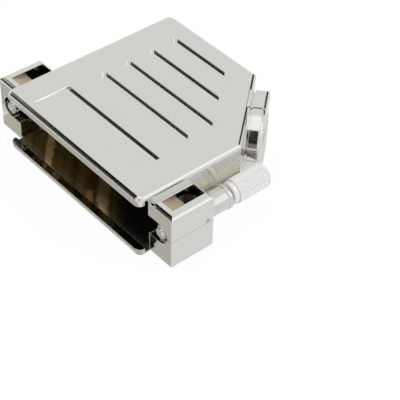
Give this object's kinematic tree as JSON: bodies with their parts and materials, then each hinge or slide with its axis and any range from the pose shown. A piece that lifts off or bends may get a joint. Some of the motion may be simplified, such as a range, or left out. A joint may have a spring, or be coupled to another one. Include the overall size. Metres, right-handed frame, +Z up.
{
  "type": "d-sub hood",
  "caption": "Two-part plated metal hood for a d-sub connector, with angled cable exit, inner cable clamp and two captive jackscrews.",
  "frame": {"origin": "centre of the footprint, at the underside", "axes": "+X along the row of contacts, to the side of the slanted cable exit; +Y to the rear, away from the connector; +Z up, towards the grooved half"},
  "size_m": [0.054, 0.042, 0.0145],
  "materials": {
    "nickel": "bright nickel plating",
    "screw_plating": "bluish zinc plating",
    "knob_plating": "satin nickel",
    "clamp_plating": "dull nickel plating"
  },
  "bodies": {
    "hood": {"top_shell": "nickel", "bottom_shell": "nickel", "cable_clamp": "clamp_plating", "clamp_screw_1": "screw_plating", "clamp_screw_2": "screw_plating", "shell_screw_1": "screw_plating", "shell_screw_2": "screw_plating"},
    "left_sleeve": {"sleeve_left": "nickel"},
    "left_screw": {"jackscrew_left": "nickel", "knob_left": "knob_plating"},
    "right_sleeve": {"sleeve_right": "nickel"},
    "right_screw": {"jackscrew_right": "nickel", "knob_right": "knob_plating"}
  },
  "joints": [
    {"name": "left_slide", "type": "slide", "parent": "hood", "child": "left_sleeve", "axis": [0, -1, 0], "range_m": [0, 0.0046]},
    {"name": "left_spin", "type": "hinge", "parent": "left_sleeve", "child": "left_screw", "pos_m": [-0.02352, -0.00095, 0.00725], "axis": [0, -1, 0], "continuous": true},
    {"name": "right_slide", "type": "slide", "parent": "hood", "child": "right_sleeve", "axis": [0, -1, 0], "range_m": [0, 0.0046]},
    {"name": "right_spin", "type": "hinge", "parent": "right_sleeve", "child": "right_screw", "pos_m": [0.02352, -0.00095, 0.00725], "axis": [0, -1, 0], "continuous": true}
  ]
}
